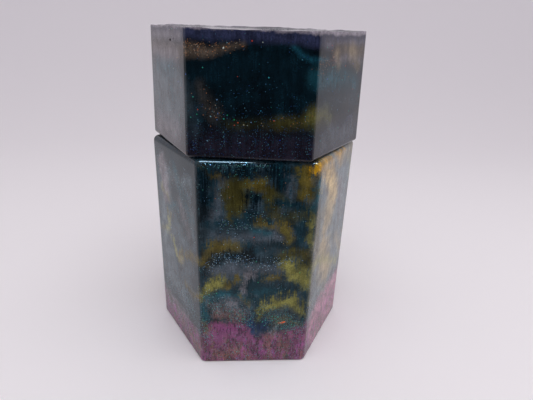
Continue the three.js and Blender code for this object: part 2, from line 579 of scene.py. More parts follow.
COOL_FLAKES = (
    (0.0, "#08151b"),
    (0.25, "#235868"),
    (0.45, "#4a8c98"),
    (0.58, "#4d8f74"),
    (0.7, "#6f8792"),
    (0.82, "#4f7cb0"),
    (0.93, "#9cbccb"),
)
WARM_FLAKES = (
    (0.0, "#261d17"),
    (0.35, "#5e4a38"),
    (0.6, "#8a6444"),
    (0.8, "#b06c40"),
    (0.93, "#9c9080"),
)
NIGHT_FLAKES = (
    (0.0, "#0a1226"),
    (0.35, "#0f2c44"),
    (0.6, "#174650"),
    (0.8, "#1e366c"),
    (0.95, "#44707c"),
)
MIXED_FLAKES = (
    (0.0, "#20a058"),
    (0.3, "#40b8b0"),
    (0.5, "#2a55c8"),
    (0.7, "#90c0c8"),
    (0.82, "#d0b060"),
    (0.92, "#d84a28"),
)

JAR_LAYERS = (
    Pour(Pigment.MAGENTA, ((-150, 2), (150, 2)), 7, soft=2.5),
    Pour(
        Pigment.MAGENTA,
        (
            (-150, 6), (-66, 6), (-46, 5), (-24, 6), (-20, 9), (-16.5, 12.2), (-11, 13), (-6, 12), (-2.5, 7),
            (1, 3.5), (5, 6), (10, 7.5), (15, 6), (18, 8.5), (22, 12), (44, 14.5), (66, 11), (150, 7),
        ),
        8.6,
        soft=1.8,
    ),
)

JAR_FRONT = (
    # Shoulder and upper third
    Pour(Pigment.INK, ((-19, 86.8), (5, 86.8)), 1.3, soft=1.4, cover=0.8),
    Pour(Pigment.INK, ((-15, 83), (3, 82.8), (10, 84.5)), 2.6, soft=2, cover=0.92),
    Pour(Pigment.OLD_GOLD, ((-20.7, 86.2), (-18, 83.6), (-13.7, 82)), 0.4, soft=1.2, cover=0.6),
    Pour(Pigment.INK, ((-19.6, 83), (-19.3, 67)), 2.4, soft=2),
    Pour(Pigment.GREY_LILAC, ((-12.8, 79), (-15.2, 66)), 1.9, soft=2.2, cover=0.7),
    Pour(Pigment.OLIVE, ((-8.5, 77), (-6.5, 72.5)), 4.4, 3.8, soft=2.4),
    Pour(Pigment.OLIVE, ((-9.3, 70), (-10, 65.3)), 2.2, 1.0, soft=2),
    Pour(Pigment.OLIVE, ((-4.5, 79.3), (-1, 80.3), (3, 77.5), (8, 74.5), (11, 72.6)), 1.7, 1.3, soft=1.8),
    Pour(Pigment.OLD_GOLD, ((-1.6, 79.7), (1.9, 77)), 1.5, 1.8, soft=1.8, cover=0.8),
    Pour(Pigment.OLIVE, ((4, 75.5), (5.4, 71.5)), 2.9, 2.3, soft=2),
    Pour(Pigment.INK, ((-1.6, 74), (-1.6, 69)), 2.1, 1.8, soft=1.6),
    Pour(Pigment.INK, ((7, 79.3), (12, 76.3), (17.5, 72.3)), 1.5, soft=1.8, cover=0.85),
    Pour(Pigment.DEEP_TEAL, ((7, 73), (13, 71.6), (19, 69.6)), 1.7, soft=1.8),
    Pour(Pigment.GREY_LILAC, ((11.4, 81.5), (11.7, 76.5)), 1.3, soft=1.6, cover=0.6),
    Pour(Pigment.OLIVE, ((14.5, 84.5), (15.5, 77)), 2.3, soft=2.2, cover=0.85),
    Pour(Pigment.OLD_GOLD, ((16.6, 84.6), (17.8, 79), (18.6, 75)), 2.7, 1.9, soft=2.4, cover=0.85),
    # Painted highlight: bright gold on the shoulder's front right corner, partly the gold pigment, partly a
    # painted glint.
    Pour(Pigment.BRIGHT_GOLD, ((21, 87.6), (19, 84.8)), 1.8, 0.7, soft=1.8),
    Pour(Pigment.TEAL, ((21.3, 82), (21.3, 69.5)), 0.7, soft=1.2, cover=0.9),
    Pour(Pigment.OLIVE, ((7, 67.6), (18, 66)), 2.0, 2.4, soft=2.4, cover=0.7),
    # Middle third
    Pour(Pigment.SLATE, ((-20, 59), (-9, 60), (1, 61)), 2.7, soft=2.6, cover=0.7),
    Pour(Pigment.GREY_LILAC, ((-15, 58), (-3, 58.8), (2, 57.3), (6.5, 58.4)), 0.9, 1.9, soft=2, cover=0.7),
    Pour(Pigment.OLD_GOLD, ((0.2, 65), (6.3, 63.4), (10.5, 61.6)), 0.8, 2.1, soft=1.6, cover=0.85),
    Pour(Pigment.OLD_GOLD, ((10.5, 61.6), (12.2, 59.4), (10.8, 56.6)), 2.5, 1.6, soft=1.6, cover=0.85),
    Pour(Pigment.YELLOW_OLIVE, ((9, 62), (12.2, 59.4), (11.2, 57.4)), 1.2, 0.8, soft=1.8, cover=0.4),
    Pour(Pigment.GREY_LILAC, ((6, 61.2), (7.4, 57.8)), 1.5, 1.1, soft=1.5, cover=0.85),
    Pour(Pigment.TEAL, ((-1.5, 62), (3.6, 60.3)), 0.8, soft=1.6, cover=0.7),
    Pour(Pigment.DEEP_TEAL, ((16.6, 64), (17, 58), (15.8, 55.8)), 2.2, 1.8, soft=1.6),
    Pour(Pigment.DEEP_TEAL, ((20.5, 54.3), (12, 54.9), (3, 54.2)), 1.1, 0.8, soft=1.4),
    Pour(Pigment.YELLOW_OLIVE, ((20.8, 67.5), (20.9, 57.5)), 1.4, soft=1.5, cover=0.85),
    Pour(Pigment.OLD_GOLD, ((-7, 54.6), (-11, 55.6), (-14.6, 54)), 1.9, 2.1, soft=2.1, cover=0.8),
    Pour(Pigment.OLD_GOLD, ((-14.6, 54), (-18, 51), (-21.2, 48)), 2.1, 1.5, soft=2.1, cover=0.8),
    Pour(Pigment.OLIVE, ((9.3, 51), (14, 52.3), (19.5, 51.5), (20.8, 47)), 1.6, 2.4, soft=2),
    Pour(Pigment.SLATE, ((3.5, 52.8), (8, 52.3)), 1.0, soft=1.6, cover=0.8),
    Pour(Pigment.INK, ((-21.3, 43.5), (-17.5, 48), (-10, 50.6), (-4, 50.8)), 1.0, 2.2, soft=1.8),
    Pour(Pigment.INK, ((-4, 50.8), (0, 49.3), (4, 48.6), (12, 48.4)), 2.4, 1.0, soft=1.8),
    Pour(Pigment.GREY_LILAC, ((-15, 44), (-7, 45.6), (-1.5, 44.6)), 2.9, soft=2.4, cover=0.9),
    Pour(Pigment.GREY_LILAC, ((4.5, 46), (9.5, 45.3)), 2.0, soft=2, cover=0.8),
    Pour(Pigment.YELLOW_OLIVE, ((12.4, 47.5), (15.5, 44), (18.5, 41.5), (20.5, 39.5)), 2.8, 3.4, soft=2.6),
    Pour(Pigment.SUNLIT_OLIVE, ((12.8, 46.4), (15.3, 42.7)), 1.3, soft=2.2, cover=0.55),
    Pour(Pigment.PALE_LILAC, ((-2, 42), (-4.4, 36)), 1.7, 1.2, soft=1.8, cover=0.8),
    # Lower third
    Pour(Pigment.OLD_GOLD, ((3.2, 40.6), (6, 41.4), (10, 41)), 0.6, soft=1.2, cover=0.85),
    Pour(Pigment.DEEP_TEAL, ((-1.5, 38.5), (-2, 33.5), (0.6, 29)), 2.1, 1.5, soft=1.6),
    Pour(Pigment.DEEP_TEAL, ((0, 36), (6, 36), (16, 35.3)), 2.9, 1.6, soft=1.8),
    Pour(Pigment.TEAL, ((1, 34), (8, 35)), 2.2, 1.4, soft=2, cover=0.4),
    Pour(Pigment.YELLOW_OLIVE, ((-14.6, 39.8), (-17, 37), (-19, 33.5), (-21, 31)), 2.5, 2.0, soft=2),
    Pour(Pigment.SUNLIT_OLIVE, ((-15, 39.2), (-17.4, 36.4)), 1.4, soft=1.8, cover=0.7),
    Pour(Pigment.OLD_GOLD, ((-7, 40.5), (-10, 38.5), (-11.3, 36.8)), 1.6, 1.1, soft=1.6, cover=0.9),
    Pour(Pigment.TEAL, ((-21.5, 26.5), (-18, 31), (-14, 34), (-7.5, 34.6), (-3, 30.5)), 1.5, 0.9, soft=1.4),
    Pour(Pigment.TEAL, ((-3, 30.5), (-1.2, 24)), 0.8, soft=1.2, cover=0.8),
    Pour(Pigment.OLD_GOLD, ((-6.5, 34.5), (-5, 32.3), (-2.5, 29)), 0.4, soft=0.9, cover=0.7),
    Pour(Pigment.TEAL, ((-21, 27), (-19.5, 22.5)), 1.7, 1.3, soft=1.6),
    Pour(Pigment.PALE_LILAC, ((-15, 28), (-8, 28.8), (-5, 25)), 3.2, 2.6, soft=2.4, cover=0.6),
    Pour(Pigment.PINK_BROWN, ((-14, 24.5), (-6, 23.5)), 1.8, soft=2.4, cover=0.6),
    Pour(Pigment.YELLOW_OLIVE, ((1.2, 22), (1.8, 25), (4.5, 27.8)), 0.9, 2.3, soft=1.6),
    Pour(
        Pigment.YELLOW_OLIVE, ((4.5, 27.8), (8, 29.8), (13.5, 30.6), (17.5, 29), (19.5, 26)), 2.5, 2.1, soft=2
    ),
    Pour(Pigment.SUNLIT_OLIVE, ((4, 27.8), (8, 30)), 1.2, soft=1.9, cover=0.6),
    Pour(Pigment.SUNLIT_OLIVE, ((12, 31), (15.5, 30.8)), 0.9, soft=1.8, cover=0.5),
    Pour(Pigment.SLATE, ((7, 24.2), (12, 25), (17, 23)), 2.1, soft=2.2, cover=0.8),
    Pour(Pigment.SLATE, ((7, 20.3), (17, 19.8)), 2.8, soft=2.2, cover=0.9),
    Pour(Pigment.YELLOW_OLIVE, ((8, 23), (17, 20)), 1.6, soft=2.6, cover=0.35),
    Pour(Pigment.NAVY, ((-2.8, 23), (-0.5, 18.5), (1.3, 14.8)), 1.2, 1.9, soft=1.4),
    Pour(Pigment.NAVY, ((1.3, 14.8), (4, 18), (5, 21)), 1.7, 1.0, soft=1.4),
    Pour(Pigment.ICE, ((7.7, 17.5), (8.6, 15)), 1.0, soft=1.8, cover=0.6),
    Pour(Pigment.BRIGHT_MAGENTA, ((-17, 10), (-13, 17), (-7, 17), (-4, 12)), 1.4, soft=2.8, cover=0.5),
    Pour(Pigment.BRIGHT_MAGENTA, ((19.4, 15), (20.4, 9)), 1.0, soft=2.2, cover=0.5),
    Pour(Pigment.PINK_BROWN, ((-14, 4), (-8, 6.5), (-3, 2.5)), 2.6, soft=2.8, cover=0.75),
    Pour(Pigment.PINK_BROWN, ((6, 12), (11, 10), (13, 5)), 2.4, soft=2.8, cover=0.75),
    Pour(Pigment.YELLOW_OLIVE, ((-20.6, 20), (-19, 17)), 1.0, soft=1.8, cover=0.5),
    Pour(Pigment.ORANGE_FLAKE, ((10.7, 20.4), (12, 20.1)), 0.4, 0.22, soft=0.15, grained=False),
)

JAR_LEFT = (
    Pour(Pigment.BLUE_GREY, ((-55, 70), (-55, 30)), 9.0, soft=5, cover=0.6),
    Pour(Pigment.BLUE_GREY, ((-36, 58), (-36, 30)), 8.0, soft=5, cover=0.4),
    Pour(Pigment.INK, ((-22.6, 85), (-22.6, 52)), 1.1, soft=1.8),
    Pour(Pigment.DEEP_TEAL, ((-62, 84), (-45, 84), (-26, 84)), 4.0, soft=3, cover=0.9),
    Pour(Pigment.PALE_LILAC, ((-55, 78), (-52, 64)), 4.6, 3.6, soft=2.2, cover=0.9),
    Pour(Pigment.DEEP_TEAL, ((-42, 74), (-36, 61), (-28, 58)), 5.5, 6.0, soft=2.6, cover=0.95),
    Pour(Pigment.TEAL, ((-50, 61), (-44, 64), (-40, 63)), 1.3, soft=1.8, cover=0.9),
    Pour(Pigment.SUNLIT_OLIVE, ((-57, 67), (-49, 64.5)), 0.5, soft=2, cover=0.5),
    Pour(Pigment.SUNLIT_OLIVE, ((-49.6, 56), (-50.6, 49.5), (-60, 47)), 1.2, 0.7, soft=2.2, cover=0.8),
    Pour(Pigment.SUNLIT_OLIVE, ((-46.5, 46), (-44.5, 41), (-40, 40), (-38, 44)), 1.0, soft=2.2, cover=0.8),
    Pour(Pigment.TAN, ((-41, 40.5), (-38.5, 42)), 0.8, soft=2.2, cover=0.6),
    Pour(Pigment.SLATE, ((-44, 36), (-30, 38)), 2.0, soft=3, cover=0.6),
    Pour(Pigment.OLD_GOLD, ((-38, 44), (-31, 46.5), (-22, 48.5)), 1.0, 1.4, soft=1.9, cover=0.9),
    Pour(Pigment.BLUE_GREY, ((-58, 52), (-58, 40)), 3.0, soft=3.5, cover=0.6),
    Pour(Pigment.OLD_GOLD, ((-35, 31), (-29, 29.8), (-22, 31.5)), 0.9, 1.3, soft=1.8, cover=0.95),
    Pour(Pigment.BLUE_GREY, ((-54, 25), (-32, 24)), 3.5, soft=3, cover=0.6),
    Pour(Pigment.BLUE_GREY, ((-46, 75), (-32, 76)), 2.5, soft=3, cover=0.5),
    Pour(Pigment.TEAL, ((-42, 80), (-33, 68), (-27, 64)), 1.6, soft=3, cover=0.8),
    Pour(Pigment.PALE_LILAC, ((-38, 66), (-30, 56)), 1.4, soft=3.5, cover=0.6),
    Pour(Pigment.BLUE_GREY, ((-28, 78), (-26, 52)), 1.0, soft=2.5, cover=0.5),
    Pour(Pigment.DEEP_TEAL, ((-34, 26), (-24, 18)), 3.4, soft=2.4, cover=0.75),
    Pour(Pigment.PALE_LILAC, ((-60, 12), (-36, 11.5)), 3.8, soft=3.4, cover=0.7),
    Pour(Pigment.PINK_BROWN, ((-32, 6), (-25, 6)), 2.0, soft=3, cover=0.8),
)

JAR_RIGHT = (
    Pour(Pigment.BLUE_GREY, ((44, 84), (44, 24)), 20.0, soft=4, cover=0.8),
    Pour(Pigment.TAN, ((39, 78), (38, 66), (32, 54), (42, 34)), 6.5, soft=6, cover=0.85),
    Pour(Pigment.TAN, ((50, 84), (60, 84)), 3.0, soft=4, cover=0.5),
    Pour(Pigment.PALE_LILAC, ((50, 72), (56, 60)), 4.0, soft=5, cover=0.7),
    Pour(Pigment.TAN, ((52, 46), (62, 36)), 2.5, soft=4, cover=0.5),
    Pour(Pigment.SAND, ((27, 81), (37, 76), (43, 68)), 4.2, 3.0, soft=3, cover=0.8),
    # These two bright gold pours at the top of the right face, beside the corner: partly the gold pigment,
    # partly the painted glint carried on from the corner.
    Pour(Pigment.BRIGHT_GOLD, ((24, 83), (46, 82)), 3.2, soft=3.5, cover=0.22),
    Pour(Pigment.BRIGHT_GOLD, ((22.5, 87), (33, 86), (50, 87)), 2.0, 1.0, soft=2.5, cover=0.7),
    Pour(Pigment.BLUE_GREY, ((37, 87), (41, 82), (46, 78), (56, 76)), 1.4, 2.0, soft=2.2, cover=0.9),
    Pour(Pigment.BLUE_GREY, ((24.5, 80), (30, 71)), 2.4, soft=2.5, cover=0.85),
    Pour(Pigment.TEAL, ((22.2, 82), (22.2, 69)), 0.9, soft=1.3),
    Pour(Pigment.OLIVE, ((24, 68), (27, 52)), 1.8, soft=2.5, cover=0.7),
    Pour(Pigment.BLUE_GREY, ((29, 61), (30, 54)), 1.6, soft=2, cover=0.8),
    Pour(Pigment.BLUE_GREY, ((38, 54), (48, 52)), 1.5, soft=2, cover=0.8),
    Pour(Pigment.BLUE_GREY, ((48, 42), (54, 38)), 2.0, soft=2, cover=0.8),
    Pour(Pigment.BLUE_GREY, ((56, 74), (57, 60)), 4.0, soft=3, cover=0.7),
    Pour(Pigment.SUNLIT_OLIVE, ((25, 46), (38, 42), (58, 31)), 1.6, soft=2.6, cover=0.6),
    Pour(Pigment.BLUE_GREY, ((25, 28), (40, 28)), 1.6, soft=2.5, cover=0.6),
    # Painted light: the bottom magenta layer drawn lighter on the right face, where the light from the right
    # is stronger.
    Pour(Pigment.ROSE, ((36, 12), (62, 13.5)), 11.5, soft=3, cover=0.95),
    Pour(Pigment.BRIGHT_MAGENTA, ((30, 9), (44, 13), (60, 12)), 3.0, soft=5, cover=0.4),
)

JAR_COOL_DRIFTS = (
    Pour(None, ((-19, 86.6), (4, 86.3)), 1.3, 0.8, soft=1.0, cover=0.75),
    Pour(None, ((-12, 83), (2, 81.5)), 1.8, soft=2.2, cover=0.22),
    Pour(None, ((-12, 63.5), (-4, 63.5)), 1.9, soft=2.4, cover=0.38),
    Pour(None, ((-1, 69), (4.5, 67)), 1.5, soft=1.8, cover=0.2),
    Pour(None, ((6, 71), (18, 66)), 2.2, soft=2.2, cover=0.08),
    Pour(None, ((-20, 45.5), (-14, 49.5), (-6, 50), (0, 47.5), (12, 48.6)), 2.0, 1.8, soft=2.0, cover=0.85),
    Pour(None, ((8, 38), (11, 36.5)), 0.9, soft=1.6, cover=0.5),
    Pour(None, ((-17, 31), (-8, 27), (-4, 21)), 3.8, soft=2.6, cover=0.9),
    Pour(None, ((-21, 21), (-18, 14)), 2.6, soft=2.4, cover=0.8),
    Pour(None, ((5, 25), (13, 21), (18, 18)), 4.0, soft=2.4, cover=1.0),
    Pour(None, ((-150, 18), (-44, 20), (-23, 20)), 4.0, soft=4.0, cover=0.5),
    Pour(None, ((-60, 78), (-30, 74)), 4.0, soft=5.0, cover=0.3),
    Pour(None, ((-36, 26), (-24, 17)), 3.4, soft=2.5, cover=0.8),
    Pour(None, ((23, 24), (150, 18)), 3.0, soft=4.0, cover=0.35),
    Pour(None, ((-66, 6), (16, 6)), 8.0, soft=4.0, cover=0.3),
)

JAR_WARM_DRIFTS = (
    Pour(None, ((-20, 41), (-16, 44)), 1.2, soft=2.0, cover=0.3),
    Pour(None, ((-17, 28), (-5, 21)), 3.4, soft=3.0, cover=0.6),
    Pour(None, ((-20, 18), (-14, 4), (-4, 4)), 2.8, soft=3.0, cover=0.7),
    Pour(None, ((6, 14), (17, 16)), 3.2, soft=3.4, cover=0.5),
    Pour(None, ((7, 22), (17, 20)), 3.0, soft=2.4, cover=0.6),
)

JAR_MIXED_DRIFTS = (
    Pour(None, ((-17, 29), (-5, 22)), 3.8, soft=3.0, cover=0.5),
    Pour(None, ((6, 23), (17, 18)), 3.8, soft=3.0, cover=0.55),
    Pour(None, ((-20, 21), (-18, 13)), 2.0, soft=2.5, cover=0.5),
    Pour(None, ((-12, 5), (-4, 4)), 2.0, soft=3.0, cover=0.3),
)

LID_LAYERS = (
    Pour(Pigment.VIOLET_NIGHT, ((-150, 89), (150, 89)), 8.5, soft=4.5),
    Pour(Pigment.INDIGO, ((-150, 129), (-5, 128.8), (24, 128), (150, 128.8)), 2.4, soft=1.3, cover=0.85),
    # The grey-lilac over the pour face and the pale pearl line round the creeping rim: partly the pigments,
    # partly painted light shining through the thin rim.
    Pour(Pigment.GREY_LILAC, ((-150, 150), (150, 150)), 18.0, soft=2.5, cover=0.45),
    Pour(
        Pigment.PEARL,
        ((-150, 131.1), (-21, 131), (14, 131.1), (23, 130.9), (150, 131.2)),
        1.2,
        soft=0.6,
        cover=0.9,
    ),
)

LID_FRONT = (
    Pour(Pigment.LID_TEAL, ((-14, 117), (2, 121), (14, 118)), 3.5, soft=4.0, cover=0.8),
    Pour(
        Pigment.BRONZE, ((-21, 123.6), (-14, 123), (-8, 124.2), (-3, 125.2)), 2.1, 0.4, soft=1.4, cover=0.75
    ),
    Pour(
        Pigment.BRIGHT_TEAL, ((13, 125), (15.8, 122.6), (21, 121.4), (28, 122)), 0.3, 0.8, soft=1.4, cover=0.5
    ),
    Pour(Pigment.BRONZE, ((-16.5, 112.5), (-15, 108), (-12, 103)), 0.8, 2.2, soft=2.8, cover=0.28),
    Pour(Pigment.SLATE, ((-18.8, 105), (-18.8, 97)), 1.5, soft=2.6, cover=0.4),
    Pour(Pigment.OLIVE, ((-8, 100), (4, 100.4), (12, 101)), 0.8, 1.6, soft=2.8, cover=0.42),
    Pour(Pigment.OLIVE, ((10, 101), (17, 101.6), (21, 106)), 2.0, 1.2, soft=2.6, cover=0.9),
)

LID_SIDES = (
    Pour(Pigment.BLUE_GREY, ((-54, 109), (-34, 107)), 12.0, soft=5, cover=0.6),
    Pour(Pigment.PALE_LILAC, ((-56, 94), (-32, 95)), 4.0, soft=4, cover=0.6),
    Pour(Pigment.BRONZE, ((-62, 123.2), (-45, 123), (-24, 122.5)), 2.2, soft=1.8, cover=0.9),
    Pour(Pigment.PALE_LILAC, ((-60, 121.5), (-30, 121.5)), 2.2, soft=3, cover=0.75),
    Pour(Pigment.PALE_LILAC, ((-62, 127.5), (-26, 127.5)), 1.6, soft=2, cover=0.75),
    Pour(Pigment.PALE_LILAC, ((26, 127), (62, 127)), 1.4, soft=2, cover=0.4),
    Pour(Pigment.PALE_LILAC, ((36, 122), (62, 122)), 2.2, soft=2.5, cover=0.5),
    Pour(Pigment.TEAL, ((-55, 117), (-44, 115), (-34, 117)), 2.0, soft=3.0, cover=0.6),
    Pour(Pigment.TEAL, ((-38, 112), (-36, 106)), 1.5, soft=2.5, cover=0.5),
    Pour(Pigment.LID_TEAL, ((24, 114), (55, 114)), 5.0, soft=3.0, cover=0.9),
    Pour(Pigment.TEAL, ((23, 116), (40, 115), (56, 113)), 3.2, soft=3.5, cover=0.75),
    Pour(Pigment.SLATE, ((28, 108), (60, 106)), 3.0, soft=4, cover=0.6),
    Pour(Pigment.BRONZE, ((34, 125), (62, 124.5)), 1.9, soft=1.6),
    Pour(Pigment.TAN, ((36, 124), (38, 120)), 1.4, 0.9, soft=2.4, cover=0.35),
    Pour(Pigment.TAN, ((50, 124), (58, 119)), 3.0, 1.6, soft=3.0, cover=0.3),
    Pour(Pigment.SUNLIT_OLIVE, ((22, 103), (29, 104), (34, 101)), 2.4, 1.4, soft=3.8, cover=0.28),
    Pour(Pigment.GREY_LILAC, ((30, 94), (60, 95)), 4.0, soft=4, cover=0.6),
)

LID_WARM_DRIFTS = (
    Pour(None, ((-21, 124), (-13, 124), (-4, 125)), 1.9, 0.8, soft=1.6, cover=0.95),
    Pour(None, ((-16, 108), (-11, 103)), 2.6, soft=2.4, cover=0.18),
    Pour(None, ((4, 101), (19, 102)), 1.4, soft=2.4, cover=0.12),
    Pour(None, ((23, 120), (33, 122)), 2.0, soft=2.0, cover=0.6),
)

LID_COOL_DRIFTS = (
    Pour(None, ((-16, 127.3), (-10, 127)), 1.0, soft=1.5, cover=0.25),
    Pour(None, ((12, 125), (16, 122), (21, 121.5)), 0.8, soft=1.6, cover=0.6),
    Pour(None, ((-20, 105), (-9, 103), (6, 103), (19, 106)), 2.6, soft=3.4, cover=0.4),
    Pour(None, ((-12, 112), (14, 110)), 3.0, soft=5.0, cover=0.14),
    Pour(None, ((26, 110), (58, 106)), 4.0, soft=5.0, cover=0.3),
    Pour(None, ((-150, 94), (150, 94)), 6.5, soft=5.0, cover=0.6),
)

LID_MIXED_DRIFTS = (
    Pour(None, ((-19, 104), (-10, 102.5), (4, 101)), 1.8, soft=3.0, cover=0.42),
    Pour(None, ((14, 108), (20, 103)), 1.8, soft=3.0, cover=0.35),
    Pour(None, ((-21, 125.8), (-8, 126)), 0.8, soft=1.5, cover=0.2),
)

JAR_RESIN = CastResin(
    name="cast_epoxy_resin_teal_gold_magenta",
    ground=Pigment.DEEP_TEAL,
    ground_cloud=Pigment.SLATE,
    veins=(
        Vein(Pigment.TEAL, 12, 0.5, 0.62, 0.7),
        Vein(Pigment.GREY_LILAC, 16, 0.5, 0.62, 0.8),
        Vein(Pigment.OLIVE, 14, 0.5, 0.57),
        Vein(Pigment.YELLOW_OLIVE, 11, 0.55, 0.62, 0.9),
        Vein(Pigment.OLD_GOLD, 18, 0.55, 0.61, 0.9),
        Vein(Pigment.INK, 13, 0.56, 0.63, 0.9),
    ),
    pours=JAR_LAYERS + JAR_FRONT + JAR_LEFT + JAR_RIGHT,
    glitter=(
        Glitter(0.42, 0.15, 0.9, 0.015, COOL_FLAKES, JAR_COOL_DRIFTS),
        Glitter(0.5, 0.16, 0.9, 0.004, WARM_FLAKES, JAR_WARM_DRIFTS),
        Glitter(1.0, 0.19, 0.6, 0.008, MIXED_FLAKES, JAR_MIXED_DRIFTS),
    ),
    mottles=(
        Vein(Pigment.PINK_BROWN, 3.6, 0.5, 0.62, 0.6, under=15),
        Vein(Pigment.BRIGHT_MAGENTA, 2.6, 0.5, 0.64, 0.7, under=16),
        Vein(Pigment.BROWN, 1.6, 0.54, 0.66, 0.6, under=17),
        Vein(Pigment.INK, 0.9, 0.52, 0.62, 0.62, under=31),
    ),
)

LID_RESIN = CastResin(
    name="cast_epoxy_resin_night_teal",
    ground=Pigment.LID_TEAL,
    ground_cloud=Pigment.LID_INK,
    veins=(
        Vein(Pigment.INDIGO, 15, 0.52, 0.62, 0.8),
        Vein(Pigment.BRONZE, 12, 0.56, 0.68, 0.35),
        Vein(Pigment.TEAL, 14, 0.58, 0.68, 0.5),
    ),
    pours=LID_LAYERS + LID_FRONT + LID_SIDES,
    glitter=(
        Glitter(0.44, 0.15, 0.9, 0.02, NIGHT_FLAKES, LID_COOL_DRIFTS),
        Glitter(0.4, 0.15, 0.9, 0.0, WARM_FLAKES, LID_WARM_DRIFTS),
        Glitter(1.1, 0.2, 0.4, 0.05, MIXED_FLAKES, LID_MIXED_DRIFTS),
    ),
    warp_mm=1.2,
    rag_mm=0.4,
    comb_mm=0.0,
    stipple_mm=0.6,
)


class Join(Enum):
    """How a second solid changes the first."""

    ADD = "UNION"
    CUT = "DIFFERENCE"


def select_only(piece: Piece) -> None:
    """Makes a piece the active one, and the only one that is selected.

    Args:
        piece: The piece.
    """
    bpy.ops.object.select_all(action="DESELECT")
    bpy.context.view_layer.objects.active = piece
    piece.select_set(True)


@contextmanager
def editing(piece: Piece) -> Iterator[None]:
    """Opens a piece in edit mode with nothing selected, and closes it again.

    Args:
        piece: The piece.
    """
    select_only(piece)
    bpy.ops.object.mode_set(mode="EDIT")
    bpy.ops.mesh.select_mode(type="EDGE")
    bpy.ops.mesh.select_all(action="DESELECT")
    yield
    bpy.ops.object.mode_set(mode="OBJECT")


def pick_edges(piece: Piece, wanted: EdgeTest) -> None:
    """Selects, in edit mode, just the edges whose two ends pass a test.

    Args:
        piece: The piece.
        wanted: The test.
    """
    mesh = bmesh.from_edit_mesh(piece.data)
    for edge in mesh.edges:
        edge.select_set(False)
    for edge in mesh.edges:
        if wanted(edge.verts[0].co, edge.verts[1].co):
            edge.select_set(True)
    bmesh.update_edit_mesh(piece.data)


def round_edges(radius: float, segments: int) -> None:
    """Rounds the selected edges, in edit mode."""
    bpy.ops.mesh.bevel(offset=radius, segments=segments, profile=0.5, affect="EDGES")


def pick_faces(piece: Piece, wanted: Callable[[Vector, Vector], bool]) -> None:
    """Selects, in edit mode, just the faces whose middle and normal pass a test.

    Args:
        piece: The piece.
        wanted: The test.
    """
    bpy.ops.mesh.select_mode(type="FACE")
    mesh = bmesh.from_edit_mesh(piece.data)
    for face in mesh.faces:
        face.select_set(wanted(face.calc_center_median(), face.normal))
    bmesh.update_edit_mesh(piece.data)


def cylinder(name: str, sides: int, radius: float, low: float, high: float, turn_deg: float = 0.0) -> Piece:
    """Adds an upright cylinder or prism about the Z axis.

    Args:
        name: The object's name.
        sides: The number of upright faces.
        radius: The corner radius.
        low: The height of its lower face.
        high: The height of its upper face.
        turn_deg: How far it is turned; at nought a corner lies on +X.

    Returns:
        The object, at the origin.
    """
    bpy.ops.object.select_all(action="DESELECT")
    bpy.ops.mesh.primitive_cylinder_add(
        vertices=sides,
        radius=radius,
        depth=high - low,
        location=(0, 0, (low + high) / 2),
        rotation=(0, 0, math.radians(turn_deg + 90)),
    )
    bpy.ops.object.transform_apply(location=True, rotation=True, scale=True)
    made = bpy.context.active_object
    made.name = made.data.name = name
    return made


def combine(piece: Piece, tool: Piece, how: Join) -> None:
    """Joins a second solid to a piece or cuts it out of it, and removes the second solid.

    Args:
        piece: The piece.
        tool: The second solid.
        how: Whether to join or to cut.
    """
    select_only(piece)
    modifier = piece.modifiers.new("combine", "BOOLEAN")
    modifier.object, modifier.operation, modifier.solver = tool, how.value, "EXACT"
    bpy.ops.object.modifier_apply(modifier=modifier.name)
    bpy.data.objects.remove(tool)


def at_height(height: float) -> EdgeTest:
    """Makes the test for edges that lie level at a height."""
    return lambda a, b: abs(a.z - height) < LEVEL and abs(b.z - height) < LEVEL


def upright(a: Vector, b: Vector) -> bool:
    """Tells whether an edge runs up and down."""
    return abs(a.z - b.z) > CLEAR


def smooth(piece: Piece) -> None:
    """Shades a casting smooth, with its flat faces kept flat.

    Args:
        piece: The casting.
    """
    select_only(piece)
    bpy.ops.object.shade_smooth_by_angle(angle=math.radians(35))
    modifier = piece.modifiers.new("flats", "WEIGHTED_NORMAL")
    modifier.weight, modifier.keep_sharp = 100, True
    bpy.ops.object.modifier_apply(modifier=modifier.name)


def unroll(piece: Piece, apothem: float, turn_deg: float) -> None:
    """Gives a casting its unrolled UV map, in millimetres.

    Across is the way round the hexagon from the middle of the front face; up is the height, and
    on faces that look up it runs on inwards.

    Args:
        piece: The casting.
        apothem: The distance from the axis to its flats.
        turn_deg: How far the casting is turned.
    """
    while piece.data.uv_layers:
        piece.data.uv_layers.remove(piece.data.uv_layers[0])
    layer = piece.data.uv_layers.new(name=UNROLLED)
    for polygon in piece.data.polygons:
        middle = math.degrees(math.atan2(polygon.center.y, polygon.center.x)) - FRONT_DEG - turn_deg
        side = round(middle / FACE_DEG)
        side = side - CORNERS if side > CORNERS // 2 else side
        for loop in polygon.loop_indices:
            spot = piece.data.vertices[piece.data.loops[loop].vertex_index].co
            bearing = math.degrees(math.atan2(spot.y, spot.x)) - FRONT_DEG - turn_deg - side * FACE_DEG
            bearing = (bearing + 180) % 360 - 180
            lean = math.tan(math.radians(max(-35.0, min(35.0, bearing))))
            outwards = math.hypot(spot.x, spot.y) * math.cos(math.radians(bearing))
            across = side * 2 * apothem * math.tan(math.radians(FACE_DEG / 2)) + apothem * lean
            inwards = 0.0 if polygon.normal.z < -0.9 else max(0.0, apothem - outwards)
            layer.data[loop].uv = (across / MM, (spot.z + inwards) / MM)


